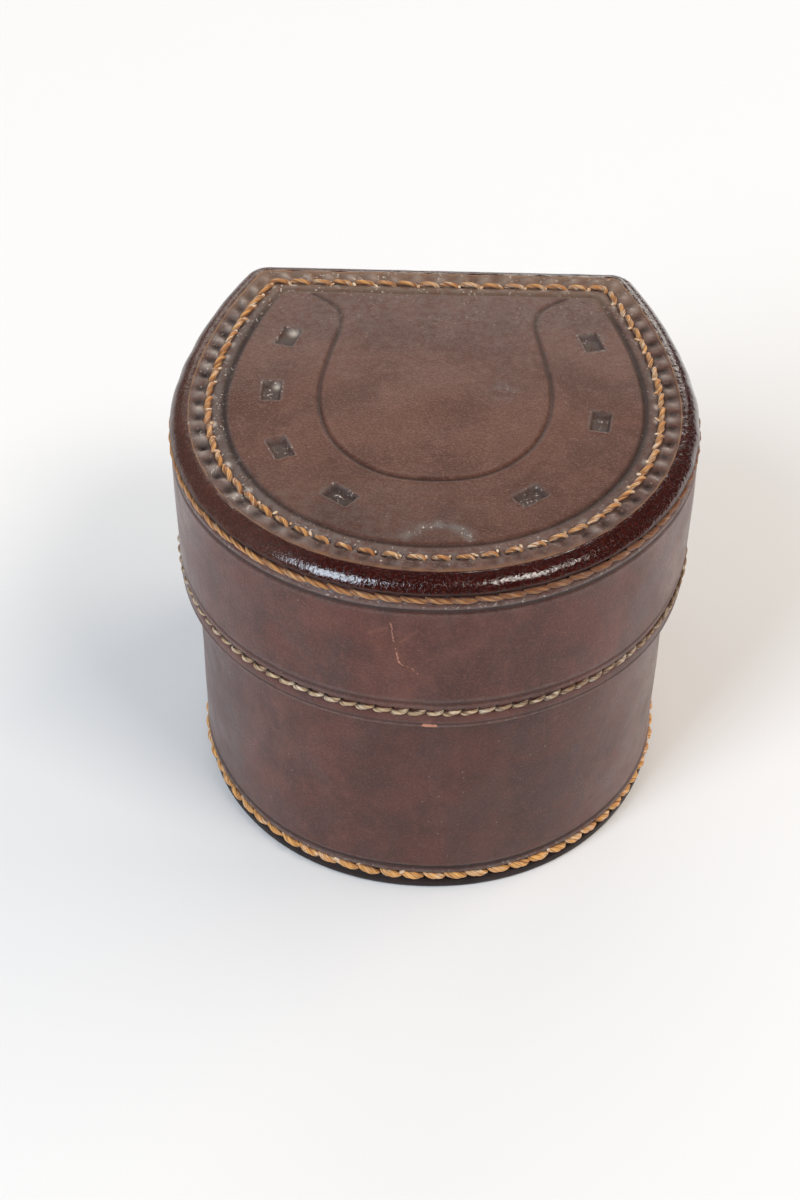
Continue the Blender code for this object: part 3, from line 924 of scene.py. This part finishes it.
class Threads:
    """Collects short thread shapes, each a tube with its own marks."""

    MARKS = ("tone", "groove", "worn", "knot", "fibre_x", "fibre_y", "fibre_z")

    def __init__(self):
        self.points, self.faces, self.count = [], [], 0
        self.marks = {mark: [] for mark in self.MARKS}

    def tube(self, spine, face, size, turn, **values):
        """A closed tube round a spine. size is a grid of radii, turn the angles round it."""
        ahead = unit(np.gradient(spine, axis=0))
        across = unit(np.cross(face, ahead))
        lift = np.cross(ahead, across)
        body = spine[:, None] + across[:, None] * (size * np.cos(turn))[..., None]
        body += lift[:, None] * (0.88 * size * np.sin(turn))[..., None]
        rows, columns = turn.shape
        index = self.count + np.arange(rows * columns).reshape(rows, columns)
        after = np.roll(index, -1, 1)
        quads = np.stack([index[:-1], after[:-1], after[1:], index[1:]], -1).reshape(-1, 4)
        self.faces += quads.tolist()
        self.faces += [index[0][::-1].tolist(), index[-1].tolist()]
        self.points.append(body.reshape(-1, 3))
        self.count += rows * columns
        for mark, store in self.marks.items():
            store.append(spread(values.get(mark, 0.0), turn.shape).ravel())

    def knot(self, place, face, ahead, across, radius):
        """A small pale lump at a hole, lying roughly across the row."""
        middle = place + across * radius * rng.uniform(0.2, 1.5)
        way = across + 0.6 * ahead * rng.normal()
        along = np.linspace(-1, 1, BEAD_ALONG)
        spine = middle + along[:, None] * rng.uniform(0.5, 1.0) * radius * way
        round_size = radius * rng.uniform(0.35, 0.65) * np.sqrt(1.02 - along**2)
        size = np.tile(round_size[:, None], (1, BEAD_AROUND))
        turn = np.tile(np.linspace(0, math.tau, BEAD_AROUND, endpoint=False), (BEAD_ALONG, 1))
        marks = {"knot": rng.uniform(0.5, 1.0), "groove": 0.3, "tone": 0.6}
        self.tube(spine, np.tile(face, (BEAD_ALONG, 1)), size, turn, **marks)

    def build(self, name):
        marks = {mark: np.concatenate(values) for mark, values in self.marks.items()}
        return new_mesh(name, np.vstack(self.points), self.faces, marks)


def at_place(setting, x, y):
    return setting(x, y) if callable(setting) else setting


def side_grime(x, y):
    """The row under the lid's edge is the dirtier, the further right."""
    return np.clip(0.50 + 0.6 * x / HALF_WIDTH, 0.1, 0.85)


def rim_grime(x, y):
    return np.clip(0.05 + 0.8 * x / HALF_WIDTH, 0, 0.5)


def stitch_row(
    name, path, out, pitch, radius, slant=0.16, rise=0.35 * MM, closed=True, worn=0.3, grime=0.0,
    bridge=0.1 * MM, knots=0.0, bow=0.0, plies=3, dive=0.62 * MM, taper=0.22, fresh=0.0,
):
    """Saddle stitches along a 3D path, each a short plied thread that dives into its holes.

    out holds the unit normals of the surface that the row lies on. bridge is half the leather
    left between stitches: it, the radius, the grime and the wear may be functions of x and y. knots
    is the chance of a pale knot at a hole, and fresh makes a row lighter.
    """
    following = np.roll(path, -1, 0) if closed else path[1:]
    steps = np.linalg.norm(following - path[: len(following)], axis=1)
    length = np.concatenate([[0], np.cumsum(steps)])
    points = np.vstack([path, path[:1]]) if closed else path
    normals = np.vstack([out, out[:1]]) if closed else out
    count = round(length[-1] / pitch)
    pitch = length[-1] / count
    along = np.linspace(-1, 1, ALONG)
    turn = np.tile(np.linspace(0, math.tau, AROUND, endpoint=False), (ALONG, 1))
    threads = Threads()

    def at(s, values):
        s = s % length[-1] if closed else np.clip(s, 0, length[-1])
        return np.stack([np.interp(s, length, values[:, k]) for k in range(3)], 1)

    for number in range(count):
        middle = (number + 0.5) * pitch
        x, y = at(np.array([middle]), points)[0, :2]
        reach = (pitch / 2 - at_place(bridge, x, y)) * (1 + rng.normal(0, 0.03))
        whole_radius = at_place(radius, x, y) * (1 + rng.normal(0, 0.06))
        s = middle + rng.normal(0, 0.02) * pitch + along * reach
        face = unit(at(s, normals))
        spot = at(s, points)
        ahead = unit(np.gradient(spot, axis=0))
        across = np.cross(face, ahead)
        tilt = slant + rng.normal(0, 0.04)
        aside = tilt * along * reach + bow * whole_radius * np.sin(math.pi * along)
        up = (rise + rng.normal(0, 0.04 * MM)) * (1 - np.abs(along) ** 2.6) - dive * np.abs(along) ** 7
        spine = spot + face * up[:, None] + across * aside[:, None]
        thick = whole_radius * (1 - taper + taper * np.cos(along * math.pi / 2))
        twist = 2.2 * along[:, None] + rng.uniform(0, 2)
        lobe = np.abs(np.cos(plies / 2 * (turn - twist)))
        size = thick[:, None] * (0.72 + 0.28 * lobe**0.6)
        # Grime, plus painted shade between the plies and where the thread dives into the holes. The next
        # lines add painted shade on the underside.
        grime_and_shade = at_place(grime, x, y) + 0.75 * (1 - lobe) ** 1.4 + 0.7 * np.abs(along[:, None]) ** 5
        marks = {
            "groove": grime_and_shade + 0.55 * (1 - clamp(np.sin(turn))) ** 2,
            "tone": fresh + rng.uniform(0, 1),
            "worn": at_place(worn, x, y) * rng.uniform(0.3, 1.7),
            "fibre_x": 0.5 + 0.5 * np.cos(turn - twist),
            "fibre_y": 0.5 + 0.5 * np.sin(turn - twist),
            "fibre_z": rng.uniform(0.1, 0.9) + 0.07 * along[:, None],
        }
        threads.tube(spine, face, size, turn, **marks)
        if rng.uniform() < knots:
            threads.knot(spot[-1] + face[-1] * rise * 0.6, face[-1], ahead[-1], across[-1], whole_radius)
    return threads.build(name)


def plan_row(name, node, inset, z, pitch, slot, body, up=0, **looks):
    """A row round the plan, on a wall or, with up as 1 or -1, on a face that looks up or down."""
    path = plan(inset)
    out = ring(np.zeros_like(path), up) if up else ring(outward(path), 0)
    obj = stitch_row(name, ring(path, z), out, pitch, **looks)
    wear(obj, THREADS[slot], body, [node])


def seam_row(name, node, inset, body):
    """The laced seam down the middle of a flat back."""
    low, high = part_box(node)
    y = BACK_Y - inset - SEAM_DEPTH
    path = np.linspace((0.0, y, low.z), (0.0, y, high.z), SEAM_POINTS)
    out = np.tile([0.0, 1.0, 0.0], (SEAM_POINTS, 1))
    obj = stitch_row(name, path, out, SEAM_PITCH, 0.42 * MM, slant=0.5, rise=0.20 * MM, closed=False)
    wear(obj, THREADS[PALE], body, [node])


# -------- the object

lid_top()
lid_skin = wall(
    "lid_wall_skin", 0.0, LID_LEATHER, lid_low.z, lid_high.z, LID_RIM_ROW_Z,
    creases=[(LID_RIM_ROW_Z + ROW_TO_CREASE, 0.7), (SIDE_ROW_Z - ROW_TO_CREASE, 1.15)],
    notch_z=SIDE_ROW_Z, hems=[lid_low.z + 1.1 * MM], dark=0.10,
)
wear(lid_skin, WALL, "lid", ["lid_wall"])
# The cup's band gets more painted shade than the lid's, under the lid's overhang.
cup_skin = wall(
    "cup_wall_skin", CUP_INSET, CUP_LEATHER, cup_low.z, cup_high.z, CUP_RIM_ROW_Z,
    creases=[(BASE_ROW_Z + ROW_TO_CREASE, 1.0), (CUP_RIM_ROW_Z - ROW_TO_CREASE, 0.7)],
    notch_z=BASE_ROW_Z, hems=[cup_high.z - 1.1 * MM], dark=0.30,
)
wear(cup_skin, WALL, "cup", ["cup_wall"])
base_panel()

for name, node, make, inset, body in (
    ("lid_wall_skiver", "lid_wall_lining", lining_band, LID_LINING_INSET, "lid"),
    ("cup_wall_skiver", "cup_wall_lining", lining_band, CUP_LINING_INSET, "cup"),
    ("lid_top_skiver", "lid_top_lining", lining_disc, LID_LINING_INSET, "lid"),
    ("cup_floor_skiver", "cup_floor_lining", lining_disc, CUP_LINING_INSET, "cup"),
):
    low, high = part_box(node)
    wear(make(name, inset, low.z, high.z), LINING_LEATHER, body, [node])

plan_row(
    "top_stitches", "lid_top_thread", TOP_ROW_INSET, TOP_Z - 0.30 * MM, BOX_PITCH, AMBER, "lid", up=1,
    radius=top_radius, rise=0.34 * MM, slant=-0.26, worn=top_worn, grime=0.12, bridge=top_bridge,
    knots=0.7, bow=0.3, plies=2,
)
plan_row(
    "side_stitches", "lid_side_thread", 0.35 * MM, SIDE_ROW_Z, BOX_PITCH, AMBER, "lid",
    radius=0.56 * MM, rise=0.12 * MM, slant=-0.15, worn=0.25, grime=side_grime, bridge=-0.32 * MM,
    bow=0.1, dive=0.25 * MM, taper=0.35,
)
plan_row(
    "rim_stitches", "lid_rim_thread", 0.30 * MM, LID_RIM_ROW_Z, RIM_PITCH, PALE, "lid",
    radius=0.43 * MM, rise=0.26 * MM, slant=0.26, worn=0.9, grime=rim_grime, bridge=0.06 * MM,
    plies=2, dive=0.34 * MM, taper=0.12,
)
seam_row("lid_seam_stitches", "lid_seam_thread", 0.0, "lid")
plan_row(
    "base_stitches", "cup_base_side_thread", CUP_INSET + 0.30 * MM, BASE_ROW_Z, BOX_PITCH, AMBER, "cup",
    radius=0.76 * MM, rise=0.30 * MM, slant=-0.20, worn=0.6, grime=-0.35, bridge=-0.10 * MM,
    knots=0.25, bow=0.1, dive=0.42 * MM, taper=0.50, fresh=0.6,
)
plan_row(
    "under_stitches", "cup_base_under_thread", UNDER_ROW_INSET, 0.75 * MM, BOX_PITCH, AMBER, "cup", up=-1,
    radius=0.38 * MM, rise=0.28 * MM, slant=0.2, worn=0.5,
)
plan_row(
    "cup_rim_stitches", "cup_rim_thread", CUP_INSET + 0.55 * MM, CUP_RIM_ROW_Z, RIM_PITCH, PALE, "cup",
    radius=0.42 * MM, rise=0.25 * MM, slant=0.12, worn=0.5,
)
seam_row("cup_seam_stitches", "cup_seam_thread", CUP_INSET, "cup")

# -------- floor, light and camera


FLOOR_SIZE = 5.0
FLOOR_GAP = 0.02 * MM  # under the base, so that the two faces don't coincide
FLOOR_COLOR = (0.80, 0.795, 0.79)
LIGHT_DISTANCE = 4.0
LIGHTS = (  # name, azimuth, elevation, size, power, color, whether reflections show it
    ("window_left", -42, 38, (1.4, 2.4), 108, (0.78, 0.88, 1.0), True),
    ("window_right", 50, 52, (1.4, 1.2), 58, (1.0, 0.93, 0.86), True),
    ("key", 108, 30, (3.2, 1.7), 74, (1.0, 0.84, 0.68), False),
    ("fill", -105, 42, (5.5, 3.7), 12, (0.90, 0.95, 1.0), True),
    ("back_wall", 180, 24, (3.4, 1.0), 36, (1.0, 0.95, 0.88), True),
)
SKY_COLOR = (0.96, 0.985, 1.0, 1)
SKY_STRENGTH = 0.38
SKY_CHANGES = (("Is Camera Ray", 0.50), ("Is Glossy Ray", -0.33))
CAMERA_PLACE = Vector((3.4, -283.5, 291.3)) * MM
CAMERA_TURN = (0.7415, 0.0319, 0.0050)  # downward pitch, yaw and roll in radians
CAMERA_LENS = 63.2
SENSOR_WIDTH = 36


def floor():
    """A plain pale floor."""
    bpy.ops.mesh.primitive_plane_add(size=FLOOR_SIZE, location=(0, 0, -FLOOR_GAP))
    obj = bpy.context.object
    obj.name = "floor"
    sh = Shader("floor_paint")
    sh.set(Base_Color=FLOOR_COLOR, Roughness=0.8, Specular_IOR_Level=0.15)
    obj.data.materials.append(sh.material)


def soft_light(name, azimuth, elevation, size, power, color, mirrored):
    """A soft box that faces the object. Azimuth 0 is in front, 90 on the right."""
    a, e = math.radians(azimuth), math.radians(elevation)
    data = bpy.data.lights.new(name, "AREA")
    data.shape = "RECTANGLE"
    data.size, data.size_y = size
    data.energy = power
    data.color = color
    obj = new_object(name, data)
    away = Vector((math.sin(a) * math.cos(e), -math.cos(a) * math.cos(e), math.sin(e)))
    obj.location = away * LIGHT_DISTANCE
    obj.rotation_mode = "QUATERNION"
    obj.rotation_quaternion = away.to_track_quat("Z", "Y")
    obj.visible_glossy = mirrored


def sky():
    """A pale room that is dim in reflections, so that the soft boxes read as windows."""
    world = bpy.data.worlds.new("studio")
    world.use_nodes = True
    nodes, links = world.node_tree.nodes, world.node_tree.links
    seen = nodes.new("ShaderNodeLightPath")
    target = nodes["Background"].inputs["Strength"]
    for ray, change in SKY_CHANGES:
        step = nodes.new("ShaderNodeMath")
        step.operation = "MULTIPLY_ADD"
        links.new(seen.outputs[ray], step.inputs[0])
        step.inputs[1].default_value = change
        links.new(step.outputs[0], target)
        target = step.inputs[2]
    target.default_value = SKY_STRENGTH
    nodes["Background"].inputs["Color"].default_value = SKY_COLOR
    bpy.context.scene.world = world


def camera():
    """The reference view: from the front, a little over 42 degrees down."""
    pitch, yaw, roll = CAMERA_TURN
    data = bpy.data.cameras.new("camera")
    data.lens = CAMERA_LENS
    data.sensor_width = SENSOR_WIDTH
    data.clip_start, data.clip_end = 0.01, 100
    obj = new_object("camera", data)
    turn = Matrix.Rotation(yaw, 4, "Z") @ Matrix.Rotation(math.pi / 2 - pitch, 4, "X")
    turn = turn @ Matrix.Rotation(roll, 4, "Z")
    obj.matrix_world = Matrix.Translation(CAMERA_PLACE) @ turn
    bpy.context.scene.camera = obj


floor()
sky()
for light in LIGHTS:
    soft_light(*light)
camera()
bpy.context.scene.view_settings.view_transform = "Standard"
